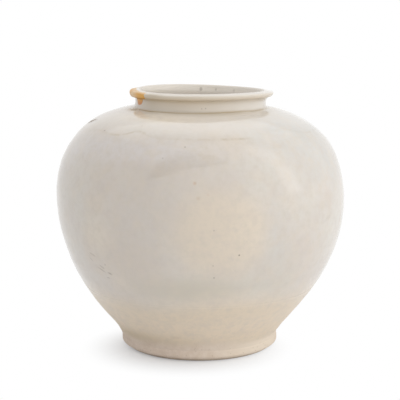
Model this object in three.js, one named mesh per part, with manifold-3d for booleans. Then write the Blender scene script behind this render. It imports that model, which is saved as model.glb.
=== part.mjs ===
// A wheel-thrown stoneware jar: a round, high-shouldered body on a solid foot, a short waisted neck and a
// rolled lip. It is thrown in sections that are luted together with slip, rim on rim, and a chip in the
// lip has been filled with gold lacquer. Millimetres, +Z up, origin at the centre of the foot's underside.

import * as THREE from "three";
import { mergeVertices } from "three/addons/utils/BufferGeometryUtils.js";
import Module from "manifold-3d";

const degrees = THREE.MathUtils.degToRad;

// Whole jar
const JAR_HEIGHT = 206.5; // table to the ridge of the lip
const BELLY_DIAMETER = 230;
const BELLY_HEIGHT = 122.4; // the widest place, above the table

// Foot
const SEAT_DIAMETER = 115.8; // the flat disc that the jar stands on
const FOOT_DIAMETER = 125.8;
const FOOT_BEVEL_HEIGHT = 3.5; // the knife-cut edge
const SLAB_THICKNESS = 9;
const FLARE_DIAMETER = 129.2; // where the waist over the foot has run out into the belly
const FLARE_HEIGHT = 13.6;
const FLARE_ANGLE = degrees(58); // of the wall there, above level

// Fullness of the body: how far the wall keeps its direction at each end of its two curves
const FLARE_RUN = 15;
const BELLY_RUN_BELOW = 60.4;
const BELLY_RUN_ABOVE = 19.1;
const SHOULDER_RUN = 55;
const SHOULDER_ANGLE = degrees(7.9); // of the shoulder at the neck's root, below level

// Wall
const WALL_AT_FOOT = 7.5;
const WALL_AT_BELLY = 6;
const WALL_AT_NECK = 5.5;
const LUTE_BEVEL = 1.5; // the inner edge of a luted rim lies this much lower than the outer edge

// Neck and lip
const NECK_HEIGHT = 14.2; // root of the neck to the ridge of the lip
const NECK_ROOT_DIAMETER = 107.5;
const NECK_DIAMETER = 104; // at its waist
const MOUTH_DIAMETER = 96;
const MOUTH_EDGE = 2; // straight edge of the shoulder's hole under the neck
const LIP_DIAMETER = 114;
const LIP_DEPTH = 5.3; // ridge of the lip to its underside
const LIP_COVE = 4.9; // underside of the lip to the waist of the neck
const LIP_FALL = 0.9; // ridge of the lip to its outer edge
const LIP_ROUND = 1.9; // of the lip's two outer edges
const RIDGE_ROUND = 3;

// Chip in the lip, and the lacquer that fills it
const CHIP_ANGLE = degrees(195.7); // middle of the chip, from +X towards +Y
const CHIP_LENGTH = 48.5; // along the lip's outer face
const CHIP_DEPTH = 3;
const TAIL_ANGLE = degrees(206.3);
const TAIL_WIDTH = 13; // at the lip
const TAIL_BEND = 12; // the tail's sides head for this width and then bend in towards its tip
const TAIL_LENGTH = 6.2; // below the underside of the lip
const TAIL_DEPTH = 1.8; // into the waist of the neck
const TAIL_OVERLAP = 0.6; // of the tail into the lip, so that chip and tail are one hollow
const LACQUER_GAP = 0.3;
const OVERCUT = 2; // how far the chip's cutter stands out of the clay

// Fineness
const SIDES = 64;
const WALL_STEPS = 12;
const WAIST_STEPS = 4;
const ROUND_STEPS = 5; // for each quarter turn of an arc
const CHIP_STEPS = 6; // for each curve of the chip's outline
const SAME_POINT = 1e-4;

const QUARTER = Math.PI / 2;
const point = (radius, height) => new THREE.Vector2(radius, height);
const heading = (angle, length) => point(Math.cos(angle), Math.sin(angle)).multiplyScalar(length);

// Points of an arc of an ellipse from one angle to another, either way round
function arc(centre, across, up, from, to) {
  const steps = Math.max(1, Math.round(ROUND_STEPS * Math.abs(to - from) / QUARTER));
  return new THREE.EllipseCurve(centre.x, centre.y, across, up, from, to, to < from).getPoints(steps);
}

// Finishes
const clay = new THREE.MeshStandardMaterial({ color: "#d8c8b8", roughness: 0.8, metalness: 0 });
const glaze = new THREE.MeshStandardMaterial({ color: "#d9d0c3", roughness: 0.25, metalness: 0 });
const goldLacquer = new THREE.MeshStandardMaterial({ color: "#c59a4e", roughness: 0.4, metalness: 0.6 });

// Stations on the outside of the wall, from the table up
const seatEdge = point(SEAT_DIAMETER / 2, 0);
const footEdge = point(FOOT_DIAMETER / 2, FOOT_BEVEL_HEIGHT);
const slabEdge = point(FOOT_DIAMETER / 2, SLAB_THICKNESS);
const flare = point(FLARE_DIAMETER / 2, FLARE_HEIGHT);
const belly = point(BELLY_DIAMETER / 2, BELLY_HEIGHT);
const neckRoot = point(NECK_ROOT_DIAMETER / 2, JAR_HEIGHT - NECK_HEIGHT);
const lipRadius = LIP_DIAMETER / 2;
const lipUnderside = JAR_HEIGHT - LIP_DEPTH;
const waist = point(NECK_DIAMETER / 2, lipUnderside - LIP_COVE);

// The waist over the foot: from the slab's upright edge to the slope of the belly
const slope = Math.tan(FLARE_ANGLE);
const waistCorner = point(slabEdge.x, flare.y - (flare.x - slabEdge.x) * slope);
const waistCurve = new THREE.QuadraticBezierCurve(slabEdge, waistCorner, flare);

// The body's two curves meet upright at the widest place
const lowerCurve = new THREE.CubicBezierCurve(
  flare,
  flare.clone().add(heading(FLARE_ANGLE, FLARE_RUN)),
  point(belly.x, belly.y - BELLY_RUN_BELOW),
  belly,
);
const upperCurve = new THREE.CubicBezierCurve(
  belly,
  point(belly.x, belly.y + BELLY_RUN_ABOVE),
  neckRoot.clone().add(heading(-SHOULDER_ANGLE, SHOULDER_RUN)),
  neckRoot,
);

// The inside of a wall: its outer curve moved inwards along its normal, by a thickness that changes evenly
function inside(curve, startThickness, endThickness) {
  return Array.from({ length: WALL_STEPS + 1 }, (_, step) => {
    const along = step / WALL_STEPS;
    const tangent = curve.getTangent(along);
    const inwards = point(-tangent.y, tangent.x);
    const thickness = THREE.MathUtils.lerp(startThickness, endThickness, along);
    return curve.getPoint(along).addScaledVector(inwards, thickness);
  });
}

const lowerInside = inside(lowerCurve, WALL_AT_FOOT, WALL_AT_BELLY);
const upperInside = inside(upperCurve, WALL_AT_BELLY, WALL_AT_NECK);

// Inner edges of the luted rims
const bellyRim = point(belly.x - WALL_AT_BELLY, belly.y - LUTE_BEVEL);
const neckRim = point(MOUTH_DIAMETER / 2, neckRoot.y - LUTE_BEVEL);

// A turned piece: an outline of radius and height, up the outside and down the inside, swept round Z
function turned(outline) {
  const apart = outline.filter((place, i) => i === 0 || place.distanceTo(outline[i - 1]) > SAME_POINT);
  return new THREE.LatheGeometry(apart, SIDES).rotateX(QUARTER);
}

function footSlab() {
  return turned([point(0, 0), seatEdge, footEdge, slabEdge, point(0, SLAB_THICKNESS)]);
}

// The wall's inside runs on in a straight line from the flare down to the slab
function lowerWall() {
  const start = lowerInside[0];
  const floorEdge = point(start.x - (start.y - SLAB_THICKNESS) / slope, SLAB_THICKNESS);
  return turned([
    ...waistCurve.getPoints(WAIST_STEPS),
    ...lowerCurve.getPoints(WALL_STEPS),
    bellyRim,
    ...lowerInside.slice(0, WALL_STEPS).reverse(),
    floorEdge,
    slabEdge,
  ]);
}

// Under the neck the shoulder runs on inwards and turns up to the edge of the mouth's hole
function upperWall() {
  const end = upperInside[WALL_STEPS];
  const corner = point(neckRim.x, end.y + (end.x - neckRim.x) * Math.tan(SHOULDER_ANGLE));
  const holeEdge = point(neckRim.x, neckRim.y - MOUTH_EDGE);
  const underNeck = new THREE.QuadraticBezierCurve(holeEdge, corner, end);
  return turned([
    ...upperCurve.getPoints(WALL_STEPS),
    neckRim,
    ...underNeck.getPoints(WAIST_STEPS),
    ...upperInside.slice(1).reverse(),
    bellyRim,
    belly,
  ]);
}

// The neck is hollowed by two quarter-ellipses, one up from its root and one under the lip. The lip has two
// rounded edges outside and a broad rolled ridge inside, and its sloping top touches the circles of the
// upper edge and of the ridge.
function neckAndLip() {
  const round = Math.min(LIP_ROUND, (LIP_DEPTH - LIP_FALL) / 2); // the two edges share the lip's outer face
  const lowerEdge = point(lipRadius - round, lipUnderside + round);
  const upperEdge = point(lowerEdge.x, JAR_HEIGHT - LIP_FALL - round);
  const ridge = point(MOUTH_DIAMETER / 2 + RIDGE_ROUND, JAR_HEIGHT - RIDGE_ROUND);
  const across = upperEdge.clone().sub(ridge);
  const topNormal = across.angle() + Math.acos((RIDGE_ROUND - round) / across.length());
  const overRoot = point(neckRoot.x, waist.y);
  const underLip = point(lowerEdge.x, waist.y);
  return turned([
    ...arc(overRoot, overRoot.x - waist.x, waist.y - neckRoot.y, 3 * QUARTER, 2 * QUARTER),
    ...arc(underLip, underLip.x - waist.x, LIP_COVE, 2 * QUARTER, QUARTER),
    ...arc(lowerEdge, round, round, -QUARTER, 0),
    ...arc(upperEdge, round, round, 0, topNormal),
    ...arc(ridge, RIDGE_ROUND, RIDGE_ROUND, topNormal, QUARTER),
    ...arc(ridge, RIDGE_ROUND, RIDGE_ROUND, QUARTER, 2 * QUARTER),
    neckRim,
    neckRoot,
  ]);
}

// Booleans
const wasm = await Module();
wasm.setup();

function solidOf(geometry) {
  const bare = geometry.clone().deleteAttribute("normal").deleteAttribute("uv");
  const welded = mergeVertices(bare, SAME_POINT);
  return new wasm.Manifold(new wasm.Mesh({
    numProp: 3,
    vertProperties: new Float32Array(welded.attributes.position.array),
    triVerts: new Uint32Array(welded.index.array),
  }));
}

function geometryOf(solid) {
  const { vertProperties, triVerts } = solid.getMesh();
  const geometry = new THREE.BufferGeometry();
  geometry.setAttribute("position", new THREE.BufferAttribute(vertProperties, 3));
  geometry.setIndex(new THREE.BufferAttribute(triVerts, 1));
  geometry.computeVertexNormals();
  return geometry;
}

// The chip bites a length of the lip's outer face away
function lipBite(gap) {
  const outer = lipRadius + OVERCUT;
  const inner = lipRadius - CHIP_DEPTH + gap;
  const half = (CHIP_LENGTH / 2 - gap) / lipRadius;
  const bite = new THREE.Shape();
  bite.absarc(0, 0, outer, CHIP_ANGLE - half, CHIP_ANGLE + half, false);
  bite.absarc(0, 0, inner, CHIP_ANGLE + half, CHIP_ANGLE - half, true);
  const depth = LIP_DEPTH + LIP_COVE + OVERCUT;
  const cutter = new THREE.ExtrudeGeometry(bite, { depth, bevelEnabled: false, curveSegments: CHIP_STEPS });
  return cutter.translate(0, 0, waist.y);
}

// Its tail is a hollow tongue that narrows down the neck, cut in along the radius
function tailCut(gap) {
  const top = LIP_COVE + TAIL_OVERLAP - gap;
  const tip = LIP_COVE - TAIL_LENGTH + gap;
  const half = TAIL_WIDTH / 2 - gap;
  const bend = TAIL_BEND / 2 - gap;
  const side = (top + tip) / 2;
  const tongue = new THREE.Shape();
  tongue.moveTo(-half, top);
  tongue.quadraticCurveTo(-bend, side, 0, tip);
  tongue.quadraticCurveTo(bend, side, half, top);
  const depth = lipRadius + OVERCUT - waist.x + TAIL_DEPTH - gap;
  const cutter = new THREE.ExtrudeGeometry(tongue, { depth, bevelEnabled: false, curveSegments: CHIP_STEPS });
  const outwards = new THREE.Vector3(Math.cos(TAIL_ANGLE), Math.sin(TAIL_ANGLE), 0);
  const up = new THREE.Vector3(0, 0, 1);
  const sideways = up.clone().cross(outwards);
  const place = new THREE.Matrix4().makeBasis(sideways, up, outwards);
  place.setPosition(outwards.multiplyScalar(waist.x - TAIL_DEPTH + gap).setZ(waist.y));
  return cutter.applyMatrix4(place);
}

const chip = (gap) => solidOf(lipBite(gap)).add(solidOf(tailCut(gap)));
const wholeNeck = solidOf(neckAndLip());

const jar = new THREE.Group();

function addPiece(name, geometry, material) {
  const piece = new THREE.Mesh(geometry, material);
  piece.name = name;
  jar.add(piece);
}

addPiece("foot_slab", footSlab(), clay);
addPiece("lower_wall", lowerWall(), glaze);
addPiece("upper_wall", upperWall(), glaze);
addPiece("neck_and_lip", geometryOf(wholeNeck.subtract(chip(0))), glaze);
addPiece("lip_mend", geometryOf(wholeNeck.intersect(chip(LACQUER_GAP))), goldLacquer);

export default jar;
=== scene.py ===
# %% [markdown]
# # A white-glazed jar with a gold-lacquer mend
#
# The jar was thrown on a wheel in stoneware, coated with white slip and a clear glaze, and fired on its bare
# foot. Long afterwards a chip in its lip was filled with gold lacquer. The sizes come from a solid model,
# which is loaded first as a fixed frame. The lesson then works out a finer surface for each piece with numpy,
# and makes a material for each finish.

# %% Load the frame
import math

import bpy
import numpy as np
from mathutils import Matrix, Vector


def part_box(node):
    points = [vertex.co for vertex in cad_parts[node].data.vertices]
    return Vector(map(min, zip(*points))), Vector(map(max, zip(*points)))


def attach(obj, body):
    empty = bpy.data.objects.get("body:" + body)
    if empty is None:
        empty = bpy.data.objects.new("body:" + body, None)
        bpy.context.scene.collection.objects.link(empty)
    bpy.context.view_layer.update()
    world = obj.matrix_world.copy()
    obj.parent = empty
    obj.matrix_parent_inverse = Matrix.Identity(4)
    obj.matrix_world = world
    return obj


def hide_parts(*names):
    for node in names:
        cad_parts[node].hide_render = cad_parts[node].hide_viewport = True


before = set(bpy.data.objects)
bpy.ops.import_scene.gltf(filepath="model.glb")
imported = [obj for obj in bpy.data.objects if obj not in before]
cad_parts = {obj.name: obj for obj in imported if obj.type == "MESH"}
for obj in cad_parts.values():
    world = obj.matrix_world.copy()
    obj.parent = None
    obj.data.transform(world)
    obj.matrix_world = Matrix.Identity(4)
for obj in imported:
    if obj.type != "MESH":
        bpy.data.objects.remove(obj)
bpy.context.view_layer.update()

# %% [markdown]
# ## Camera
#
# A long lens about a metre away looks slightly down on the jar, which keeps the ellipses of mouth and foot
# flat. Its place was found by fitting the outline of the jar, lip and foot together. The camera comes first,
# so that every later step can be looked at.

# %% Camera
CAMERA_PLACE = (-0.0002, -0.991, 0.2789)
CAMERA_DIP = 9.29
LENS_MM = 112.15

camera = bpy.data.objects.new("camera", bpy.data.cameras.new("camera"))
bpy.context.scene.collection.objects.link(camera)
bpy.context.scene.camera = camera
camera.data.lens = LENS_MM
camera.location = CAMERA_PLACE
camera.rotation_euler = (math.radians(90.0 - CAMERA_DIP), 0.0, 0.0)
bpy.context.scene.view_settings.view_transform = "Standard"
print("camera looks down by", CAMERA_DIP, "degrees")

# %% [markdown]
# ## Sizes
#
# All shape work is in millimetres, and only the finished points are turned into Blender's metres. What the
# solid model already knows is read from its boxes. The few other sizes describe curves that a box can't tell.

# %% Sizes from the frame
MM = 0.001


def reach(node):
    """Widest radius and top height of a turned node in millimetres, from the high corner of its box."""
    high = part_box(node)[1]
    return high.x / MM, high.z / MM


FOOT_RADIUS, SLAB_TOP = reach("foot_slab")
BELLY_RADIUS, BELLY_HEIGHT = reach("lower_wall")
ROOT_HEIGHT = reach("upper_wall")[1]
LIP_RADIUS, JAR_HEIGHT = reach("neck_and_lip")
print("foot, belly, lip radius:", FOOT_RADIUS, BELLY_RADIUS, LIP_RADIUS, "height:", JAR_HEIGHT)

# %% Sizes of the curves
SEAT_RADIUS = 57.9
BEVEL_HEIGHT = 3.5
# Radius and height of the flare, where the waist meets the lower wall
FLARE = np.array([66.35, 16.4])
FLARE_SLOPE = math.radians(63.0)
WAIST_BEND = 0.63
FLARE_RUN = 10.5
BELLY_RUN_BELOW = 61.0
BELLY_RUN_ABOVE = 19.1
SHOULDER_RUN = 55.0
SHOULDER_SLOPE = math.radians(7.9)
ROOT = np.array([53.75, ROOT_HEIGHT])
NECK_RADIUS = 52.0
NECK_WAIST = 4.0
MOUTH_RADIUS = 48.0
LIP_COVE = 5.3
LIP_ROLL = 2.4
LIP_FALL = 0.9
LIP_ROUND = 1.3
RIDGE_ROUND = 3.0
MOUTH_ROUND = 6.5
# Thickness of the wall at the flare, the belly and the root of the neck
WALL = (7.5, 6.0, 5.5)
FLOOR_GLAZE = 0.4
print("wall thins from", WALL[0], "to", WALL[-1], "mm")

# %% [markdown]
# ## Outline of the jar
#
# A pot from the wheel is its outline turned about an axis, so the outline is the first thing to get right. It
# is put together from Bezier curves for the walls and arcs for the neck and the rolled lip. Each stretch is
# divided evenly by length: finely at the lip, which has tight curves, and coarsely inside.

# %% Curves
CURVE_POINTS = 400
ARC_POINTS = 200


def bezier(*controls):
    """Bezier curve: the control points weighted by Bernstein's polynomials of t, which runs from 0 to 1."""
    t = np.linspace(0.0, 1.0, CURVE_POINTS)[:, None]
    order = len(controls) - 1
    weights = [math.comb(order, k) * t**k * (1.0 - t) ** (order - k) for k in range(order + 1)]
    return sum(weight * np.array(control) for weight, control in zip(weights, controls))


def arc(centre, across, up, start, end):
    """Part of an ellipse: the centre plus the half axes times cosine and sine of an angle in degrees."""
    angle = np.radians(np.linspace(start, end, ARC_POINTS))
    return np.stack([centre[0] + across * np.cos(angle), centre[1] + up * np.sin(angle)], -1)


def lengths(points):
    """Distance along a line of points from its first one."""
    steps = np.hypot(*np.diff(points, axis=0).T)
    return np.concatenate([[0.0], np.cumsum(steps)])


def evenly(points, step):
    """The same line, with points spaced equally by about one step."""
    along = lengths(points)
    wanted = np.linspace(0.0, along[-1], max(2, round(along[-1] / step) + 1))
    return np.stack([np.interp(wanted, along, column) for column in points.T], -1)


def inward(points, thickness):
    """The line set back into the clay: each point moved against its normal by the wall's thickness."""
    tangent = np.gradient(points, axis=0)
    tangent /= np.linalg.norm(tangent, axis=1)[:, None]
    normal = np.stack([tangent[:, 1], -tangent[:, 0]], -1)
    return points - normal * thickness[:, None]


# %% Outline of the glazed body
slope_up = np.array([math.cos(FLARE_SLOPE), math.sin(FLARE_SLOPE)])
slope_down = np.array([math.cos(SHOULDER_SLOPE), -math.sin(SHOULDER_SLOPE)])
belly = np.array([BELLY_RADIUS, BELLY_HEIGHT])
neck_top = ROOT_HEIGHT + NECK_WAIST
lip_under = neck_top + LIP_COVE
lip_face = LIP_RADIUS - LIP_ROLL
ridge_centre = (MOUTH_RADIUS + RIDGE_ROUND, JAR_HEIGHT - RIDGE_ROUND)
mouth_top = JAR_HEIGHT - MOUTH_ROUND
lip_shoulder = JAR_HEIGHT - LIP_FALL - LIP_ROUND
lip_edge = np.array([LIP_RADIUS - LIP_ROUND, lip_shoulder])
lip_run = lip_edge - ridge_centre
lip_tilt = math.atan2(lip_run[1], lip_run[0]) + math.acos((RIDGE_ROUND - LIP_ROUND) / np.hypot(*lip_run))
lip_tilt = math.degrees(lip_tilt)

waist = bezier((FOOT_RADIUS, SLAB_TOP), (FOOT_RADIUS, SLAB_TOP + WAIST_BEND), FLARE)
lower_wall = bezier(FLARE, FLARE + FLARE_RUN * slope_up, belly - (0.0, BELLY_RUN_BELOW), belly)
upper_wall = bezier(belly, belly + (0.0, BELLY_RUN_ABOVE), ROOT + SHOULDER_RUN * slope_down, ROOT)
neck = np.concatenate([
    arc((ROOT[0], neck_top), ROOT[0] - NECK_RADIUS, NECK_WAIST, 270.0, 180.0),
    arc((lip_face, neck_top), lip_face - NECK_RADIUS, LIP_COVE, 180.0, 90.0),
])
lip = np.concatenate([
    arc((lip_face, lip_shoulder), LIP_ROLL, lip_shoulder - lip_under, -90.0, 0.0),
    arc(lip_edge, LIP_ROUND, LIP_ROUND, 0.0, lip_tilt),
    arc(ridge_centre, RIDGE_ROUND, RIDGE_ROUND, lip_tilt, 90.0),
    arc((ridge_centre[0], mouth_top), RIDGE_ROUND, MOUTH_ROUND, 90.0, 180.0),
])
print("lip's top leans out by", round(90.0 - lip_tilt, 1), "degrees")

# %% Inside of the body
AXIS_GAP = 0.5
SHOULDER_START = NECK_RADIUS + 8.0
MOUTH_WALL_END = 10.0
MOUTH_BEND = ((0.0, 3.0), (4.0, 1.2))
FLOOR_TURN_RUN = 9.0
FLOOR_FLAT = 42.0

thickness = np.concatenate([np.linspace(*ends, CURVE_POINTS) for ends in (WALL[:2], WALL[1:])])
inner_wall = inward(np.concatenate([lower_wall, upper_wall]), thickness)[::-1]
inner_shoulder = inner_wall[inner_wall[:, 0] > SHOULDER_START]
top_inside = inner_shoulder[0]
bottom_inside = inner_shoulder[-1]
mouth_wall = bezier((MOUTH_RADIUS, mouth_top), (MOUTH_RADIUS, top_inside[1] + MOUTH_WALL_END))
mouth_bend = [(MOUTH_RADIUS + out, top_inside[1] + up) for out, up in MOUTH_BEND]
mouth_turn = bezier(mouth_wall[-1], *mouth_bend, top_inside)
floor_height = SLAB_TOP + FLOOR_GLAZE
floor_turn = bezier(bottom_inside, bottom_inside - FLOOR_TURN_RUN * slope_up, (FLOOR_FLAT, floor_height))
floor_inside = bezier(floor_turn[-1], (AXIS_GAP, floor_height))
print("inside is", round(2.0 * inner_shoulder[:, 0].max()), "mm wide")

# %% Whole outline of the body
# Each stretch and the step in mm by which it is divided
stretches = {
    "under": (bezier((AXIS_GAP, SLAB_TOP), (FOOT_RADIUS, SLAB_TOP)), 16.0),
    "waist": (waist, 0.9),
    "lower_wall": (lower_wall, 2.1),
    "upper_wall": (upper_wall, 2.1),
    "neck": (neck, 0.5),
    "lip": (lip, 0.45),
    "mouth_wall": (mouth_wall, 1.2),
    "mouth_turn": (mouth_turn, 1.2),
    "inner_shoulder": (inner_shoulder, 4.0),
    "floor_turn": (floor_turn, 2.0),
    "floor": (floor_inside, 6.0),
}
divided = [evenly(points, step) for points, step in stretches.values()]
outline = np.concatenate([points[:-1] for points in divided] + [floor_inside[-1:]])
along = lengths(outline)
starts = dict(zip(stretches, np.cumsum([0.0] + [lengths(points)[-1] for points in divided])))
along_neck = starts["neck"]
along_lip = starts["lip"]
along_top = starts["mouth_wall"]
print("outline has", len(outline), "points and is", round(along[-1]), "mm long")

# %% [markdown]
# ## The hand of the potter
#
# A true turned solid looks like plastic. This jar's axis sways a little, one shoulder sits higher than the
# other, the lip is low and out of level, the neck's root dips, the waist is dented at one side, and the glaze
# lies in slow waves that make reflections wander. Each of these is a sine or a bell of angle and height,
# added as a shift of the finished points, so every piece of the jar follows the same shifts.

# %% Steps and bells
def ease(low, high, value):
    """Smooth step: 0 below low, 1 above high, and 3t2 - 2t3 of the share t in between."""
    share = np.clip((value - low) / (high - low), 0.0, 1.0)
    return share * share * (3.0 - 2.0 * share)


def hump(value, middle, half):
    """Bell curve: exp(-u2), where u is the distance from the middle in half widths."""
    return np.exp(-(((value - middle) / half) ** 2))


def turned_from(around, middle):
    """Angle from a direction round the jar, between half a turn back and half a turn on."""
    return (around - middle + math.pi) % (2.0 * math.pi) - math.pi


# %% Waves and rings of the glaze
# Times round the jar, pitch up it, size and phase of each wave
GLAZE_WAVES = (
    (4, 70.0, 0.07, 0.4),
    (-7, 41.0, 0.06, 2.3),
    (11, 58.0, 0.05, 4.1),
    (-15, 33.0, 0.04, 1.2),
    (19, 47.0, 0.03, 5.5),
)
RING_PITCH = 11.0
RING_SIZE = 0.05
INNER_RING_SIZE = 0.35


def glaze_waves(around, height):
    """Lift of the glaze in mm: sines that run a whole number of times round the jar and slowly up it."""
    return sum(size * np.sin(turns * around + 2.0 * math.pi * height / pitch + phase)
               for turns, pitch, size, phase in GLAZE_WAVES)


def throwing_rings(around, height, size):
    """Spiral left by the fingers: a sine of height that climbs by one pitch in each turn."""
    return size * np.sin(2.0 * math.pi * height / RING_PITCH + around)


print("glaze waves lift by at most", round(sum(wave[2] for wave in GLAZE_WAVES), 2), "mm")

# %% Warps of the jar
SWAY = 0.45
SWAY_NODE = 60.0
SWAY_PITCH = 125.0
FOOT_SHIFT = 0.45
FOOT_SHIFT_FADE = (20.0, 65.0)
LIP_SHIFT = 0.75
SHOULDER_RISE = 0.8
SHOULDER_HEIGHT = 184.0
SHOULDER_SPREAD = 13.0
LIP_DROP = 0.45
LIP_DIP = 0.6
LIP_NOD = 0.15
LIP_SADDLE = 0.5
ROOT_DIP = 0.95
ROOT_DIP_TURN = math.radians(238.0)
ROOT_DIP_HALF = math.radians(46.0)
ROOT_DIP_START = (178.0, 190.0)
ROOT_DIP_END = (ROOT_HEIGHT, neck_top + 3.0)
DENT = 1.3
DENT_HEIGHT = 12.6
DENT_HALF = 2.6
DENT_TURN = math.radians(55.0)
DENT_FADE = (40.0, 58.0)


def hand_warp(points, around):
    """Sways the axis by a sine of height, and moves shoulder, lip, neck and waist by cosines and bells."""
    x, y, z = np.moveaxis(points, -1, 0)
    at_lip = ease(neck_top, lip_shoulder, z)
    uneven = LIP_DIP * np.cos(around) - LIP_NOD * np.sin(around) + LIP_SADDLE * np.sin(2.0 * around)
    at_root = ease(*ROOT_DIP_START, z) * (1.0 - ease(*ROOT_DIP_END, z))
    dip = ROOT_DIP * np.exp(-((turned_from(around, ROOT_DIP_TURN) / ROOT_DIP_HALF) ** 4))
    shift = -SHOULDER_RISE * hump(z, SHOULDER_HEIGHT, SHOULDER_SPREAD) * np.cos(around)
    shift = shift - at_lip * (LIP_DROP + uneven) - at_root * dip
    sway = SWAY * np.sin(2.0 * math.pi * (z - SWAY_NODE) / SWAY_PITCH)
    sway = sway + LIP_SHIFT * at_lip - FOOT_SHIFT * (1.0 - ease(*FOOT_SHIFT_FADE, z))
    dent = DENT * hump(turned_from(around, 0.0), 0.0, DENT_TURN) * hump(z, DENT_HEIGHT, DENT_HALF)
    dent = dent * ease(*DENT_FADE, np.hypot(x, y))
    return np.stack([x + sway - dent * np.cos(around), y - dent * np.sin(around), z + shift], -1)


# %% Surface of the body
outline_tangent = np.gradient(outline, along, axis=0)
outline_tangent /= np.linalg.norm(outline_tangent, axis=1)[:, None]
outline_normal = np.stack([outline_tangent[:, 1], -outline_tangent[:, 0]], -1)


def wall_point(where, around, lift):
    """Point of the jar at a length along its outline and an angle round it, lifted off along the normal."""
    radius, height, out, up = (np.interp(where, along, column)
                               for column in (*outline.T, *outline_normal.T))
    radius = radius + lift * out
    points = np.stack([radius * np.cos(around), radius * np.sin(around), height + lift * up], -1)
    return hand_warp(points, around)


# %% [markdown]
# ## Mend in the lip
#
# The restorer built the chipped lip up again with lacquer and powdered gold. The fill covers the outside of
# the lip up to its ridge, over about an eighth of its round, and one tongue of it runs down the neck along
# the break. Its edge is given as two lines over the angle, an upper and a lower one. The body is hollowed out
# under it, as the chip was.

# %% Edge of the mend
MEND_START = math.radians(171.5)
MEND_END = math.radians(219.2)
MEND_LENGTH = MEND_END - MEND_START
UPPER_EDGE = 10.3
UPPER_FALL = 2.6
LOWER_EDGE = 1.3
LOWER_RISE_TURN = math.radians(210.0)
TONGUE_TURN = math.radians(204.4)
TONGUE_HALF = math.radians(7.0)
TONGUE_DROP = 6.4


def mend_upper(around):
    """Upper edge as a length along the outline: on the lip's ridge, and falling as a square to the right."""
    share = (around - MEND_START) / MEND_LENGTH
    wander = 0.2 * np.sin(17.0 * around) + 0.12 * np.sin(39.0 * around + 1.0)
    return along_lip + UPPER_EDGE - UPPER_FALL * share**2 + wander


def mend_lower(around):
    """Lower edge: under the lip, with a tongue of the form 1 - u4 down the neck, rising at the right end."""
    rise = ease(LOWER_RISE_TURN, MEND_END, around)
    tongue = np.clip(1.0 - np.abs((around - TONGUE_TURN) / TONGUE_HALF) ** 4, 0.0, 1.0)
    wander = 0.15 * np.sin(31.0 * around + 2.0)
    return along_lip - LOWER_EDGE * (1.0 - rise) - TONGUE_DROP * tongue + wander


print("gold mend is", round(MEND_LENGTH * LIP_RADIUS), "mm long")

# %% Chip under the mend
CHIP_DEPTH = 1.4
CHIP_EDGE = (0.6, 2.0)
CHIP_END = (0.9, 2.4)


def chip_hollow(where, around):
    """Depth of the chip: its full depth well inside the mend's edge, smooth steps to nothing outside it."""
    upper = ease(*CHIP_EDGE, mend_upper(around) - where)
    lower = ease(*CHIP_EDGE, where - mend_lower(around))
    ends = ease(*CHIP_END, np.minimum(around - MEND_START, MEND_END - around) * LIP_RADIUS)
    return CHIP_DEPTH * upper * lower * ends


# %% [markdown]
# ## Glazed body
#
# The body is one closed skin: under the wall, up the outside, over the lip, down the inside and across the
# floor. It could be a Spin or Screw modifier on a curve, but those can't give it the chip, the waves and the
# finger rings. Here every point is computed at once, as an array of outline places by angles.

# %% Meshes from arrays
CORNER_ANGLE = math.radians(50.0)


def new_object(name, points, faces):
    """An object with a mesh of points in metres, put into the scene."""
    mesh = bpy.data.meshes.new(name)
    mesh.from_pydata(points.tolist(), [], faces)
    made = bpy.data.objects.new(name, mesh)
    bpy.context.scene.collection.objects.link(made)
    print(name, "has", len(mesh.vertices), "points and", len(mesh.polygons), "faces")
    return made


def add_piece(name, points, faces, slot, *nodes):
    """A smooth piece of points in mm that rides on the jar's one body and stands for nodes of the frame."""
    piece = new_object(name, points * MM, faces)
    piece.data.shade_smooth()
    piece.data.set_sharp_from_angle(angle=CORNER_ANGLE)
    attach(piece, "root")
    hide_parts(*nodes)
    return piece


def paint(piece, name, values):
    """Stores one number for each point, which a material reads by that name."""
    attribute = piece.data.attributes.new(name, "FLOAT", "POINT")
    attribute.data.foreach_set("value", np.asarray(values, np.float32).ravel())


def turned_faces(rows, columns):
    """Faces of a turned grid: a point, the next one round and the two above, with a fan at each pole."""
    column = np.arange(columns)
    after = (column + 1) % columns
    start = np.arange(rows - 1)[:, None] * columns
    quads = np.stack([start + column, start + after, start + columns + after, start + columns + column], -1)
    last = (rows - 1) * columns
    pole = np.full(columns, rows * columns)
    first_fan = np.stack([pole, after, column], -1)
    last_fan = np.stack([last + column, last + after, pole + 1], -1)
    return quads.reshape(-1, 4).tolist() + first_fan.tolist() + last_fan.tolist()


def with_poles(grid):
    """The grid as a list of points, then one pole in the middle of its first row and one of its last."""
    return np.concatenate([grid.reshape(-1, *grid.shape[2:]), grid[0].mean(0)[None], grid[-1].mean(0)[None]])


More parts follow.
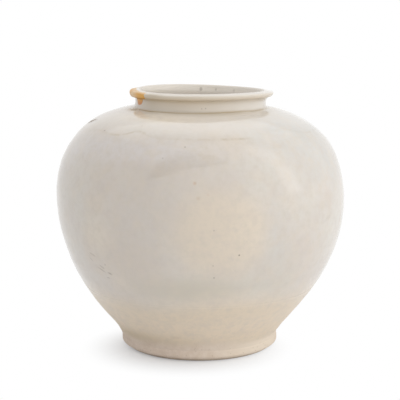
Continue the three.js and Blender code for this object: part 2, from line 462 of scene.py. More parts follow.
# %% Glazed body
AROUND_STEPS = 360
WAIST_FADE = 8.0
LIP_FADE = 9.0
INNER_FADE = 20.0
FLOOR_FADE = 10.0
turn = np.arange(AROUND_STEPS) * 2.0 * math.pi / AROUND_STEPS
where, around = np.meshgrid(along, turn, indexing="ij")
height = np.broadcast_to(outline[:, 1][:, None], where.shape)
outside = ease(starts["waist"], starts["lower_wall"] + WAIST_FADE, where)
outside = outside * (1.0 - ease(along_lip - LIP_FADE, along_lip, where))
inside = ease(starts["inner_shoulder"], starts["inner_shoulder"] + INNER_FADE, where)
inside = inside * (1.0 - ease(starts["floor_turn"] - FLOOR_FADE, starts["floor"], where))
lift = outside * (glaze_waves(around, height) + throwing_rings(around, height, RING_SIZE))
lift = lift + inside * throwing_rings(around, height, INNER_RING_SIZE) - chip_hollow(where, around)
body_points = wall_point(where, around, lift)
glazed_body = add_piece("glazed_body", with_poles(body_points), turned_faces(*where.shape), "white_glaze",
                        "lower_wall", "upper_wall", "neck_and_lip")

# %% [markdown]
# ## Bare foot
#
# The foot is a slab of the same clay, left bare so that it wouldn't stick in the kiln. Its lower edge is cut
# back with a knife, and every corner is worn round. It is turned from a short outline in the same way.

# %% Bare foot
CORNER = 1.1
SEAT_RUN = 6.0


def rounded(*corners):
    """A line through corners, each replaced by a Bezier curve that starts and ends a corner's radius away."""
    points = np.array(corners, float)
    before = points[:-2] - points[1:-1]
    behind = points[2:] - points[1:-1]
    start = points[1:-1] + CORNER * before / np.linalg.norm(before, axis=1)[:, None]
    end = points[1:-1] + CORNER * behind / np.linalg.norm(behind, axis=1)[:, None]
    bends = [bezier(a, b, c) for a, b, c in zip(start, points[1:-1], end)]
    return np.concatenate([points[:1], *bends, points[-1:]])


foot_edge = rounded((SEAT_RADIUS - SEAT_RUN, 0.0), (SEAT_RADIUS, 0.0), (FOOT_RADIUS, BEVEL_HEIGHT),
                    (FOOT_RADIUS, SLAB_TOP))
foot_outline = np.concatenate([
    evenly(bezier((AXIS_GAP, 0.0), foot_edge[0]), 6.0)[:-1],
    evenly(foot_edge, 0.6)[:-1],
    evenly(bezier((FOOT_RADIUS, SLAB_TOP), (AXIS_GAP, SLAB_TOP)), 12.0),
])
foot_turn = np.broadcast_to(turn, (len(foot_outline), AROUND_STEPS))
foot_radius = foot_outline[:, 0][:, None]
foot_height = np.broadcast_to(foot_outline[:, 1][:, None], foot_turn.shape)
foot_points = np.stack([foot_radius * np.cos(foot_turn), foot_radius * np.sin(foot_turn), foot_height], -1)
foot_points = hand_warp(foot_points, foot_turn)
bare_foot = add_piece("bare_foot", with_poles(foot_points), turned_faces(*foot_turn.shape), "bare_clay",
                      "foot_slab")

# %% [markdown]
# ## Gold mend
#
# The mend is a pillow: a front sheet that stands a little proud of the glaze and a back sheet that fills the
# chip, joined along the edge. Both are the body's own surface function at another lift, so the mend follows
# every warp of the lip.

# %% Sheets of the mend
MEND_ROWS = 61
MEND_COLUMNS = 161
MEND_END_ROUND = 1.5
MEND_END_HEIGHT = 0.45
MEND_EDGE_ROUND = 0.9

share_up, share_round = np.meshgrid(np.linspace(-1.0, 1.0, MEND_ROWS), np.linspace(0.0, 1.0, MEND_COLUMNS),
                                    indexing="ij")
mend_turn = MEND_START + share_round * MEND_LENGTH
low_edge = mend_lower(mend_turn)
high_edge = mend_upper(mend_turn)
edge_round = np.minimum(share_round, 1.0 - share_round) * MEND_LENGTH * LIP_RADIUS
near_end = 1.0 - np.clip(edge_round / MEND_END_ROUND, 0.0, 1.0)
end_height = MEND_END_HEIGHT + (1.0 - MEND_END_HEIGHT) * np.sqrt(1.0 - near_end**2)
half_height = 0.5 * (high_edge - low_edge) * end_height
mend_where = 0.5 * (low_edge + high_edge) + share_up * half_height
inset = np.minimum(half_height * (1.0 - np.abs(share_up)), edge_round)
from_edge = 1.0 - np.clip(inset / MEND_EDGE_ROUND, 0.0, 1.0)
swell = np.sqrt(np.clip(1.0 - from_edge**2, 0.0, 1.0))
print("gold mend is up to", round(float((high_edge - low_edge).max()), 1), "mm high along the wall")

# %% Gold mend
MEND_PROUD = 0.12
MEND_SINK = -0.15
BULGE = 0.7
BULGE_RISE = 0.6
BULGE_HALF = 2.2
BULGE_START = (math.radians(184.0), math.radians(194.0))
KNOB = 0.3
KNOB_TURN = math.radians(182.0)
KNOB_HALF = math.radians(12.0)
KNOB_FADE = (along_lip + 1.5, along_lip + 5.0)
BACK_GAP = 0.2
BACK_SLOPE = 1.6


def sheet_faces(grid):
    """Faces of a sheet of point numbers: each joins a point, the next in its row and the two above."""
    return np.stack([grid[:-1, :-1], grid[:-1, 1:], grid[1:, 1:], grid[1:, :-1]], -1).reshape(-1, 4)


def pillow_faces(rows, columns):
    """Faces of two sheets that share their edge points, with those of the back sheet turned round."""
    front = np.arange(rows * columns).reshape(rows, columns)
    back = front.copy()
    back[1:-1, 1:-1] = rows * columns + np.arange((rows - 2) * (columns - 2)).reshape(rows - 2, columns - 2)
    return sheet_faces(front).tolist() + sheet_faces(back)[:, ::-1].tolist()


knob = KNOB * hump(mend_turn, KNOB_TURN, KNOB_HALF) * (1.0 - ease(*KNOB_FADE, mend_where))
bulge = BULGE * hump(mend_where, along_lip + BULGE_RISE, BULGE_HALF) * ease(*BULGE_START, mend_turn)
front_lift = MEND_SINK + (MEND_PROUD - MEND_SINK + knob + bulge) * swell
back_lift = MEND_SINK - (CHIP_DEPTH + BACK_GAP) * ease(0.0, BACK_SLOPE, inset)
front_sheet = wall_point(mend_where, mend_turn, front_lift)
back_sheet = wall_point(mend_where, mend_turn, back_lift)
mend_points = np.concatenate([front_sheet.reshape(-1, 3), back_sheet[1:-1, 1:-1].reshape(-1, 3)])
gold_mend = add_piece("gold_mend", mend_points, pillow_faces(*share_up.shape), "gold_lacquer", "lip_mend")

# %% Wear of the gold and a painted highlight
THIN_WIDTH = 5.0
RUBBED = 0.9
RUBBED_TURN = math.radians(200.0)
RUBBED_HALF = math.radians(7.0)
RUBBED_START = (along_lip - 1.0, along_lip + 2.0)
WORN_START = (2.6, 6.6)
# The gold is paler along its upper edge and at one place on the left: thin powder, with a painted highlight
# on the lip's top.
thin_gold_and_highlight = 1.0 - ease(0.0, THIN_WIDTH, high_edge - mend_where)
rubbed = RUBBED * hump(mend_turn, RUBBED_TURN, RUBBED_HALF) * ease(*RUBBED_START, mend_where)
gold_wear = {"thin_gold_and_highlight": np.maximum(thin_gold_and_highlight, rubbed), "worn_tip": ease(*WORN_START, along_lip - mend_where)}
for wear_name, wear in gold_wear.items():
    paint(gold_mend, wear_name, np.concatenate([wear.ravel(), wear[1:-1, 1:-1].ravel()]))
print("gold is worn at", round(100.0 * float((gold_wear["worn_tip"] > 0.5).mean())), "percent of its points")

# %% [markdown]
# ## Where the glaze changes colour
#
# White slip covers the jar down to an uneven line above the foot. Below it the glaze lies on the bare clay
# and looks buff, and it ends at the waist. Where the kiln was hotter the white blushes warm, and where the
# glaze pooled it is cool and greyish. Painted light lightens the rim and the mouth, painted shade darkens
# the neck, the creases and the waist, and some tints hold painted shade and reflections. These zones are
# broad and soft, so they are stored as numbers on the mesh points.

# %% Places on the body
FRONT = math.radians(270.0)
from_front = around - FRONT
on_wall = where < along_lip


def off_front(turn_from_front):
    """Angle of each point in degrees from a place round the jar, between -180 and 180."""
    return np.degrees(turned_from(from_front, math.radians(turn_from_front)))


def bell(turn_from_front, half_turn):
    """Bell round the jar: exp(-u2), where u is the angle from its middle in half widths."""
    return hump(off_front(turn_from_front), 0.0, half_turn)


def patch(turn_from_front, middle, half_width, half_height, edge=1.5):
    """Patch on the outer wall: exp(-d to the power 2 edge), with d in half widths and heights in mm."""
    across = np.radians(off_front(turn_from_front)) * BELLY_RADIUS / half_width
    squared = across**2 + ((height - middle) / half_height) ** 2
    return np.where(where > along_top, 0.0, np.exp(-(squared**edge)))


# %% Slip, bare clay, ash and painted waist shade
SLIP_LINE = 56.0
SLIP_BELOW = 14.0
SLIP_ABOVE = 9.0
GLAZE_END = 10.0
BARE_BELOW = 1.0
BARE_ABOVE = 10.0
DRY_FOOT = 0.75
DRY_FADE = (14.0, 72.0)
slip_line = SLIP_LINE + 2.5 * np.sin(2.0 * from_front) + 2.5 * np.sin(5.0 * from_front + 0.6)
slip = np.where(on_wall, ease(slip_line - SLIP_BELOW, slip_line + SLIP_ABOVE, height), 1.0)
glaze_end = GLAZE_END + 1.2 * np.sin(3.0 * from_front + 1.0) + 0.7 * np.sin(8.0 * from_front)
bare = np.where(on_wall, 1.0 - ease(glaze_end - BARE_BELOW, glaze_end + BARE_ABOVE, height), 0.0)
dry = np.where(on_wall, np.maximum(bare, DRY_FOOT * (1.0 - ease(*DRY_FADE, height))), 0.0)
# Darker at the waist, most on the left, and faintly at 45 mm: painted shade in the cove above the foot and on
# the lower wall, over the tone of the thin glaze there.
ash_and_waist_shade = (0.2 + 0.35 * bell(-45.0, 35.0)) * hump(height, 14.0, 4.0)
ash_and_waist_shade = ash_and_waist_shade + 0.22 * bell(-54.0, 42.0) * hump(height, 19.2, 3.6) + 0.14 * hump(height, 45.0, 10.0)
ash_and_waist_shade = np.where(on_wall, ash_and_waist_shade, 0.0)
# Painted light: the foot and the bare clay are painted lighter on the right side, where the light falls.
foot_painted_light = bell(55.0, 45.0)
print("slip covers", round(100.0 * float(slip.mean())), "percent of the points")

# %% Tints of the glaze
# Share, degrees from the front, height, half width, half height and, for one, edge of each patch
TINT_PATCHES = {
    "blush": (
        (1.0, 6.5, 110.0, 38.0, 35.0, 3.0), (0.5, -44.0, 101.0, 17.0, 19.0), (0.4, -42.0, 128.0, 12.0, 9.0),
        (0.5, 10.0, 170.0, 26.0, 9.0), (0.7, 150.0, 120.0, 50.0, 40.0), (0.5, -25.0, 80.0, 25.0, 20.0),
    ),
    "pool": (
        (1.0, -4.0, 66.0, 52.0, 11.0), (0.6, 100.0, 70.0, 60.0, 15.0), (0.3, 31.0, 81.0, 26.0, 20.0),
        (0.25, 38.0, 64.0, 22.0, 12.0),
    ),
    "mauve": (
        (0.5, -26.0, 92.0, 30.0, 34.0), (0.25, -30.0, 150.0, 30.0, 18.0), (0.5, -16.0, 138.0, 25.0, 26.0),
        (0.3, 215.0, 90.0, 40.0, 40.0), (0.3, 8.0, 150.0, 30.0, 14.0), (0.45, -25.0, 163.0, 14.0, 8.0),
        (0.15, -13.0, 100.0, 14.0, 26.0), (0.2, 38.0, 176.0, 18.0, 8.0), (0.2, 22.0, 182.0, 30.0, 4.0),
        (0.4, -72.0, 66.0, 34.0, 16.0), (0.3, 74.0, 66.0, 34.0, 16.0), (0.3, 62.0, 180.0, 16.0, 5.0),
        (0.4, -45.0, 177.0, 16.0, 3.0),
    ),
    # The band at 88 degrees, high on the right shoulder, is painted shade over the glaze's reflection there.
    # The other patches are cool tone.
    "cool_tone_and_shade": (
        (0.7, 62.0, 166.0, 46.0, 30.0), (0.4, -130.0, 160.0, 50.0, 30.0), (0.25, 35.0, 176.0, 30.0, 13.0),
        (0.3, 30.0, 105.0, 12.0, 34.0), (0.8, 88.0, 183.0, 44.0, 12.0), (0.45, 40.0, 184.0, 40.0, 7.0),
    ),
    "lilac": (
        (0.75, -35.0, 168.0, 110.0, 9.0), (0.45, -68.0, 152.0, 22.0, 14.0),
    ),
    # The first band, just under the neck, is a painted reflection of the neck in the glaze. The other patches
    # warm the tone.
    "warm_tone_and_neck_reflection": (
        (0.75, -30.0, 189.0, 62.0, 3.0), (0.25, -41.0, 104.0, 14.0, 12.0), (0.22, -36.0, 68.0, 11.0, 10.0),
        (0.2, 19.0, 110.0, 15.0, 24.0), (0.12, 34.0, 128.0, 10.0, 16.0),
    ),
}
tints = {name: sum(share * patch(*place) for share, *place in patches)
         for name, patches in TINT_PATCHES.items()}
print("strongest tints:", {name: round(float(tint.max()), 2) for name, tint in tints.items()})

# %% Painted light and shade on neck, lip and mouth
# The rim colour is painted light: it lightens the neck, the lip and the top of the inside against their
# shade. The neck shade is painted shade, strongest on the lip's face and on the neck's front left. The mouth
# colour is painted light inside the mouth, weaker on its left side.
rim_painted_light = ease(along_neck + 0.5, along_neck + 3.0, where)
rim_painted_light = rim_painted_light * (1.0 - ease(along_top + 25.0, along_top + 60.0, where))
on_face = ease(along_lip - 1.0, along_lip + 1.0, where)
low_neck = 0.6 + 0.4 * ease(along_neck + 2.0, along_lip - 1.0, where)
painted_neck_shade = (1.0 - on_face) * low_neck * (0.1 + 0.9 * bell(-20.0, 46.0))
painted_neck_shade = painted_neck_shade + on_face * (0.75 + 0.2 * bell(-20.0, 40.0))
painted_neck_shade = painted_neck_shade * rim_painted_light * (1.0 - 0.6 * ease(along_lip + 3.4, along_lip + 5.8, where))
mouth_painted_light = ease(along_top - 7.0, along_top - 3.0, where) * rim_painted_light * (1.0 - 0.8 * bell(-88.0, 26.0))
print("creamy mouth covers", round(100.0 * float((mouth_painted_light > 0.5).mean())), "percent of the points")

# %% Painted shade in creases and under the lip
# Most bands are painted shade: in the crease at the neck's root, on the shoulder just under it, under the
# lip, and on the inner rim over a highlight. The streak left of the root is painted shadow and reflection of
# the neck and the gold. The others darken a ring on the shoulder, the neck's left side and the lip's top
# beside the mend.
root_shade = 0.27 - 0.22 * bell(-8.0, 10.0) + 0.19 * bell(26.0, 16.0) - 0.15 * bell(-56.0, 6.0)
root_shade = root_shade - 0.12 * bell(-30.0, 11.0)
root_shadow_and_reflection = bell(-66.5, 8.0)
root_shadow_band = (along_neck - 3.3, 3.3)
ring_shade = 0.2 * bell(-30.0, 16.0) + 0.15 * bell(27.0, 13.0)
under_lip = 0.45 - 0.12 * bell(-12.0, 28.0) - 0.2 * bell(38.0, 26.0)
# Share round the jar, place along the outline and half width of each band of painted shade
painted_shade_bands = (
    (0.7 - 0.15 * bell(45.0, 25.0), along_neck, 1.4),
    (root_shade, along_neck - 4.0, 5.0),
    (0.25 * root_shadow_and_reflection, *root_shadow_band),
    (ring_shade, along_neck - 20.0, 3.5),
    (under_lip, along_lip - 1.4, 2.0),
    (0.3 * bell(-47.0, 11.0), along_lip - 4.5, 4.0),
    (0.28 * bell(-96.0, 9.0), along_top - 5.0, 4.0),
    (0.6 * bell(-42.0, 9.0), along_lip + 6.0, 3.0),
)
painted_crease_shade = sum(share * hump(where, middle, half) for share, middle, half in painted_shade_bands)
dry = np.maximum(dry, 0.65 * root_shadow_and_reflection * hump(where, *root_shadow_band))
print(len(painted_shade_bands), "dark bands at neck, lip and mouth")

# %% Lap of the glaze
LAP_LINE = 176.3
OFF_WALL = -50.0
lap_line = LAP_LINE + 3.6 * bell(-31.0, 7.0) + 5.0 * bell(43.0, 12.0) + 1.8 * bell(-58.0, 9.0)
lap_line = lap_line + 2.5 * bell(120.0, 30.0) + 2.0 * bell(-140.0, 25.0)
lap = np.where(on_wall, height - lap_line, OFF_WALL)
print("lap of the glaze wanders by", round(float(np.ptp(lap_line)), 1), "mm in height")
lap_mark = 0.2 + 0.25 * bell(-34.0, 8.0) - 0.2 * bell(-68.0, 11.0) - 0.12 * bell(-20.0, 9.0)
lap_mark = lap_mark + 0.2 * bell(-46.0, 8.0) + 0.42 * bell(15.0, 6.0)
lap_mark = lap_mark - 0.22 * bell(29.0, 8.0) - 0.12 * bell(45.0, 15.0)
lap_mark = np.where(on_wall, np.clip(lap_mark, 0.0, 1.0), 0.0)

# %% Store the zones
ZONES = {
    "slip": slip, "bare": bare, "dry": dry, "ash_and_waist_shade": ash_and_waist_shade, **tints, "foot_painted_light": foot_painted_light, "rim_painted_light": rim_painted_light,
    "painted_neck_shade": painted_neck_shade, "mouth_painted_light": mouth_painted_light, "painted_crease_shade": painted_crease_shade, "lap": lap, "lap_mark": lap_mark,
}
for zone_name, zone in ZONES.items():
    paint(glazed_body, zone_name, with_poles(zone))
paint(bare_foot, "foot_painted_light", with_poles(np.broadcast_to(foot_painted_light[0], foot_turn.shape)))
print(len(ZONES), "zones stored on the glazed body")

# %% [markdown]
# ## Materials
#
# Every material is a node tree. One helper adds a node, sets it and links it. Colours are written as sRGB hex
# values, as a colour picker shows them, and turned into the linear numbers that the shader works with.

# %% Helpers for materials
def colour(hex_value):
    """Linear colour of an sRGB hex value: the power curve of the sRGB standard on each channel."""
    channels = np.array([int(hex_value[k:k + 2], 16) for k in (1, 3, 5)]) / 255.0
    linear = np.where(channels <= 0.04045, channels / 12.92, ((channels + 0.055) / 1.055) ** 2.4)
    return (*linear.tolist(), 1.0)


def add(tree, kind, inputs, **settings):
    """Adds a node, sets its properties, and fills its inputs: an output is linked and a value is set."""
    node = tree.nodes.new("ShaderNode" + kind)
    for name, value in settings.items():
        setattr(node, name, value)
    for name, value in inputs.items():
        if isinstance(value, bpy.types.NodeSocket):
            tree.links.new(value, node.inputs[name])
        else:
            node.inputs[name].default_value = value
    return node


def dress(piece, name, finish):
    """Gives a piece a new node material. The finish is a function that makes its shader in the tree."""
    material = bpy.data.materials.new(name)
    material.use_nodes = True
    tree = material.node_tree
    tree.nodes.clear()
    add(tree, "OutputMaterial", {"Surface": finish(tree).outputs[0]})
    piece.data.materials.append(material)
    print(piece.name, "wears", name, "with", len(tree.nodes), "nodes")


def per_mm(size):
    """Scale of a pattern whose cells measure that many millimetres, for coordinates in metres."""
    return 1.0 / (size * MM)


# %% [markdown]
# ### Bare stoneware
#
# Buff stoneware clay, turned on the wheel and fired without glaze: matte, slightly pink, with fine turning
# lines and small dark grains of iron. Towards its lowest edge it turns browner.

# %% Bare stoneware
CLAY = colour("#E8D8C9")
CLAY_DARK = colour("#D8C4B1")
# Painted light on the right side of the foot
CLAY_PAINTED_LIGHT = colour("#EDDFCC")
CLAY_RIM = colour("#A58C6C")
CLAY_ROUGH = 0.8
RIM_TOP = (0.9 * MM, 2.2 * MM)


def clay_colour(tree, place):
    """Colour of bare clay: cloudy mottling between two buffs, painted lighter on the right side where the
    light falls, with iron grains.
    """
    cloud = add(tree, "TexNoise", {"Vector": place, "Scale": per_mm(9.0), "Detail": 5.0, "Roughness": 0.7})
    share = add(tree, "MapRange", {"Value": cloud.outputs["Fac"], "From Min": 0.35, "From Max": 0.65})
    buff = add(tree, "Mix", {0: share.outputs[0], 6: CLAY, 7: CLAY_DARK}, data_type="RGBA")
    pale = add(tree, "Attribute", {}, attribute_name="foot_painted_light").outputs["Fac"]
    buff = add(tree, "Mix", {0: pale, 6: buff.outputs[2], 7: CLAY_PAINTED_LIGHT}, data_type="RGBA")
    grains = add(tree, "TexVoronoi", {"Vector": place, "Scale": per_mm(3.2)})
    grain = add(tree, "MapRange", {"Value": grains.outputs["Distance"], "From Min": 0.16, "From Max": 0.05,
                                   "To Max": 0.5})
    grained = add(tree, "Mix", {0: grain.outputs[0], 6: buff.outputs[2], 7: CLAY_RIM}, data_type="RGBA")
    return grained.outputs[2]


def turning_lines(tree, place):
    """Fine level lines from turning: noise that changes fast with height and slowly round the jar."""
    stretched = add(tree, "Mapping", {"Vector": place, "Scale": (0.06, 0.06, 1.0)})
    noise = add(tree, "TexNoise", {"Vector": stretched.outputs[0], "Scale": per_mm(1.4), "Detail": 3.0})
    return noise.outputs["Fac"]


def bare_stoneware(tree):
    """Finish of the foot: the clay's colour, browner towards its lowest edge, with turning lines."""
    place = add(tree, "TexCoord", {}).outputs["Object"]
    up = add(tree, "SeparateXYZ", {"Vector": place}).outputs["Z"]
    edge = add(tree, "MapRange", {"Value": up, "From Min": RIM_TOP[0], "From Max": RIM_TOP[1], "To Min": 0.6,
                                  "To Max": 0.0})
    mixed = add(tree, "Mix", {0: edge.outputs[0], 6: clay_colour(tree, place), 7: CLAY_RIM}, data_type="RGBA")
    bump = add(tree, "Bump", {"Height": turning_lines(tree, place), "Strength": 0.5, "Distance": 0.25 * MM})
    return add(tree, "BsdfPrincipled", {"Base Color": mixed.outputs[2], "Roughness": CLAY_ROUGH,
                                        "Normal": bump.outputs[0]})


dress(bare_foot, "bare_stoneware", bare_stoneware)

# %% [markdown]
# ### White slip under clear glaze
#
# Glazed stoneware: a glassy satin skin of refractive index 1.6 over white slip. It is cream, with warm and
# cool clouds, iron specks that melted through, fine level lines and a surface that is smooth but not flat.

# %% Marks in the glaze
# Degrees from the front, height, radius and strength of each round mark
SPECKS = (
    (-53.2, 178.3, 0.8, 0.8), (-32.0, 183.7, 0.7, 0.4), (-6.3, 171.3, 0.7, 0.6), (14.35, 94.0, 0.9, 0.7),
    (5.2, 76.7, 0.8, 0.6), (4.2, 195.6, 0.6, 0.5), (1.0, 195.4, 0.6, 0.4), (-14.9, 163.6, 0.8, 0.25),
    (4.8, 113.2, 0.8, 0.25), (4.6, 86.4, 0.8, 0.25), (-41.5, 81.0, 1.1, 0.3),
)
STAINS = ((-1.8, 147.0, 1.8, 0.38), (-0.6, 136.5, 2.0, 0.17), (3.0, 139.0, 1.4, 0.12))
# Degrees from the front, height, half length, half width, slant in degrees and strength of each long mark
STREAKS = (
    (-47.8, 87.4, 4.1, 0.9, -18.0, 0.3), (-49.5, 83.0, 3.4, 0.9, -38.0, 0.18),
    (-43.8, 78.5, 3.2, 0.9, -30.0, 0.35), (-44.6, 76.0, 5.7, 0.9, -26.0, 0.25),
    (-40.2, 74.2, 2.8, 0.9, -17.0, 0.5), (-42.0, 70.1, 2.3, 0.8, -7.0, 0.25),
    (-82.3, 181.3, 5.6, 2.7, 42.0, 0.85), (-79.5, 182.6, 3.0, 1.4, 30.0, 0.6),
    (-85.6, 179.9, 3.0, 2.2, 60.0, 0.75), (-14.8, 21.0, 6.0, 2.6, 4.0, 0.09),
    (57.0, 113.0, 9.0, 2.6, 20.0, 0.07),
)
MOUTH_FLECKS = (
    (180.6, 202.8, 2.2, 1.6, 90.0, 0.42), (165.7, 203.0, 1.6, 1.3, 90.0, 0.25),
    (146.4, 203.0, 1.7, 1.6, 90.0, 0.2),
)
MARK_DEPTH = 3.0
wall_rows = slice(0, int(np.searchsorted(along, along_lip)))
mouth_rows = slice(int(np.searchsorted(along, along_top)), int(outline[:, 1].argmax()), -1)


def mark_shape(turn_from_front, mark_height, half_length, half_width, slant, rows):
    """Place, turn and size of a mark on some rows: an ellipsoid along the wall, slanting up from level."""
    mark_where = np.interp(mark_height, outline[rows, 1], along[rows])
    mark_turn = FRONT + math.radians(turn_from_front)
    steps = ((0.0, 0.0), (0.0, 0.001), (0.1, 0.0))
    here, beside, above = (Vector(wall_point(mark_where + up, mark_turn + aside, 0.0)) for up, aside in steps)
    level = (beside - here).normalized()
    rising = (above - here).normalized()
    along_mark = level * math.cos(math.radians(slant)) + rising * math.sin(math.radians(slant))
    outward = level.cross(rising)
    axes = Matrix((along_mark, outward.cross(along_mark), outward)).transposed()
    return here * MM, axes.to_euler(), (half_length * MM, half_width * MM, MARK_DEPTH * MM)


def long_marks(marks, rows):
    """Marks of one colour on some rows: the shape and the strength of each."""
    return [(mark_shape(*place, rows), strength) for *place, strength in marks]


def round_marks(marks):
    """Round marks on the wall: as long as wide, and without a slant."""
    return long_marks([(turned, high, size, size, 0.0, strength) for turned, high, size, strength in marks],
                      wall_rows)


GLAZE_MARKS = round_marks(SPECKS) + long_marks(STREAKS, wall_rows) + long_marks(MOUTH_FLECKS, mouth_rows)
GLAZE_STAINS = round_marks(STAINS)
print(len(GLAZE_MARKS) + len(GLAZE_STAINS), "single marks in the glaze")

# %% Colours of the glaze
GLAZE_WHITE = colour("#E1DACF")
GLAZE_CLOUD = colour("#DED3C8")
GLAZE_BUFF = colour("#EEDCC4")
# Lighter glaze above the lap: a painted reflection of the overhead box, whose edge runs along the lap
LAP_PAINTED_REFLECTION = colour("#EBE4DB")
# Brown of the painted shade in creases and at the waist, and of the lap's dark line
SHADE_AND_LAP_BROWN = colour("#BDAA88")
IRON_SPECK = colour("#6A5642")
RUST_STAIN = colour("#BF8A4C")
TINT_COLOURS = {
    "blush": colour("#E4D5C1"),
    "pool": colour("#D6CCBA"),
    "mauve": colour("#D2C6BB"),
    "cool_tone_and_shade": colour("#D3D1CC"),
    "lilac": colour("#E1DAD6"),
    # warm tone, and the painted reflection of the neck under it
    "warm_tone_and_neck_reflection": colour("#F6E7D1"),
}
# Painted light and shade: the rim and mouth colours lighten, the neck, crease and waist colours darken
SHADE_COLOURS = {
    "rim_painted_light": colour("#EAE4DB"),
    "painted_neck_shade": colour("#DACBB5"),
    "mouth_painted_light": colour("#FCF3E6"),
    "painted_crease_shade": SHADE_AND_LAP_BROWN,
    "ash_and_waist_shade": SHADE_AND_LAP_BROWN,
}
print(len(TINT_COLOURS), "tints and", len(SHADE_COLOURS), "shades of the glaze")

# %% Tone of the glaze
# Size in mm and tint of each mottling
MOTTLES = ((7.0, "mauve"), (11.0, "blush"), (4.0, "pool"))
LAP_STEP = 6.0
LAP_HALF = 1.1


def glaze_tone(tree, place, zone):
    """Colour of the glaze: clouds of two whites, tints, the buff below the slip, mottles, a painted
    reflection above the lap, then painted light and shade.
    """
    cloud = add(tree, "TexNoise", {"Vector": place, "Scale": per_mm(45.0), "Detail": 4.0, "Roughness": 0.55})
    cloudy = add(tree, "MapRange", {"Value": cloud.outputs["Fac"], "From Min": 0.35, "From Max": 0.68})
    tone = add(tree, "Mix", {0: cloudy.outputs[0], 6: GLAZE_WHITE, 7: GLAZE_CLOUD}, data_type="RGBA")
    for name, tint in TINT_COLOURS.items():
        tone = add(tree, "Mix", {0: zone[name], 6: tone.outputs[2], 7: tint}, data_type="RGBA")
    tone = add(tree, "Mix", {0: zone["slip"], 6: GLAZE_BUFF, 7: tone.outputs[2]}, data_type="RGBA")
    for size, name in MOTTLES:
        mottle = add(tree, "TexNoise", {"Vector": place, "Scale": per_mm(size), "Detail": 3.0,
                                        "Roughness": 0.6})
        share = add(tree, "MapRange", {"Value": mottle.outputs["Fac"], "From Min": 0.45, "From Max": 0.7,
                                       "To Max": 0.32})
        tint = TINT_COLOURS[name]
        tone = add(tree, "Mix", {0: share.outputs[0], 6: tone.outputs[2], 7: tint}, data_type="RGBA")
    # Above the lap the glaze is painted lighter: a painted reflection of the overhead box.
    above = add(tree, "MapRange", {"Value": zone["lap"], "From Max": LAP_STEP, "To Max": 0.35})
    tone = add(tree, "Mix", {0: above.outputs[0], 6: tone.outputs[2], 7: LAP_PAINTED_REFLECTION}, data_type="RGBA")
    for name, tint in SHADE_COLOURS.items():
        tone = add(tree, "Mix", {0: zone[name], 6: tone.outputs[2], 7: tint}, data_type="RGBA")
    return tone.outputs[2]


def lap_share(tree, place, zone):
    """Share of the lap's dark line: it falls evenly with the distance from the lap, and noise breaks it."""
    beside = add(tree, "Math", {0: zone["lap"]}, operation="ABSOLUTE")
    broken = add(tree, "TexNoise", {"Vector": place, "Scale": per_mm(5.0), "Detail": 3.0})
    strength = add(tree, "MapRange", {"Value": broken.outputs["Fac"], "From Min": 0.35, "From Max": 0.6,
                                      "To Min": 0.2})
    marked = add(tree, "Math", {0: strength.outputs[0], 1: zone["lap_mark"]}, operation="MULTIPLY")
    line = add(tree, "MapRange", {"Value": beside.outputs[0], "From Min": LAP_HALF, "From Max": 0.0,
                                  "To Max": marked.outputs[0]})
    return line.outputs[0]


# %% White slip under clear glaze
GLAZE_ROUGH = 0.12
GLAZE_IOR = 1.6
SPECK_CORE = 0.35
STAIN_CORE = 0.0


def strewn_specks(tree, place):
    """Share of the fine specks: a dot in the middle of each Voronoi cell."""
    cells = add(tree, "TexVoronoi", {"Vector": place, "Scale": per_mm(26.0)})
    speck = add(tree, "MapRange", {"Value": cells.outputs["Distance"], "From Min": 0.028, "From Max": 0.01,
                                   "To Max": 0.4})
    return speck.outputs[0]


def with_marks(tree, place, marks, core, share):
    """Largest of a share and all marks, each full in the core of its ellipsoid and fading to its edge."""
    for (centre, axes, reach_of_mark), strength in marks:
        inside_mark = add(tree, "Mapping", {"Vector": place, "Location": centre, "Rotation": axes,
                                            "Scale": reach_of_mark}, vector_type="TEXTURE")
        away = add(tree, "VectorMath", {0: inside_mark.outputs[0]}, operation="LENGTH")
        dot = add(tree, "MapRange", {"Value": away.outputs["Value"], "From Min": 1.0, "From Max": core,
                                     "To Max": strength})
        share = add(tree, "Math", {0: share, 1: dot.outputs[0]}, operation="MAXIMUM").outputs[0]
    return share


def white_slip_glaze(tree):
    """Finish of the glazed wall: its tone, with lap line, stains, specks and bare clay laid over it."""
    place = add(tree, "TexCoord", {}).outputs["Object"]
    zone = {name: add(tree, "Attribute", {}, attribute_name=name).outputs["Fac"] for name in ZONES}
    tone = glaze_tone(tree, place, zone)
    stained = with_marks(tree, place, GLAZE_STAINS, STAIN_CORE, 0.0)
    specked = with_marks(tree, place, GLAZE_MARKS, SPECK_CORE, strewn_specks(tree, place))
    overlays = (
        (lap_share(tree, place, zone), SHADE_AND_LAP_BROWN),
        (stained, RUST_STAIN),
        (specked, IRON_SPECK),
        (zone["bare"], clay_colour(tree, place)),
    )
    for share, tint in overlays:
        tone = add(tree, "Mix", {0: share, 6: tone, 7: tint}, data_type="RGBA").outputs[2]

    gloss = add(tree, "MapRange", {"Value": zone["dry"], "To Min": GLAZE_ROUGH, "To Max": CLAY_ROUGH})
    rough = add(tree, "Math", {0: gloss.outputs[0], 1: specked}, operation="MAXIMUM")
    bump = add(tree, "Bump", {"Height": turning_lines(tree, place), "Strength": 0.12, "Distance": 0.2 * MM})
    return add(tree, "BsdfPrincipled", {"Base Color": tone, "Roughness": rough.outputs[0],
                                        "IOR": GLAZE_IOR, "Normal": bump.outputs[0]})


dress(glazed_body, "white_slip_glaze", white_slip_glaze)

# %% [markdown]
# ### Gold lacquer
#
# Tree lacquer dusted with gold powder and polished: a soft metallic amber. Along the upper edge and at one
# place on the left the gold is paler and less metallic: the powder is thin there, and a highlight is painted
# on the lip's top. At the tongue's tip the red-brown lacquer shows through.

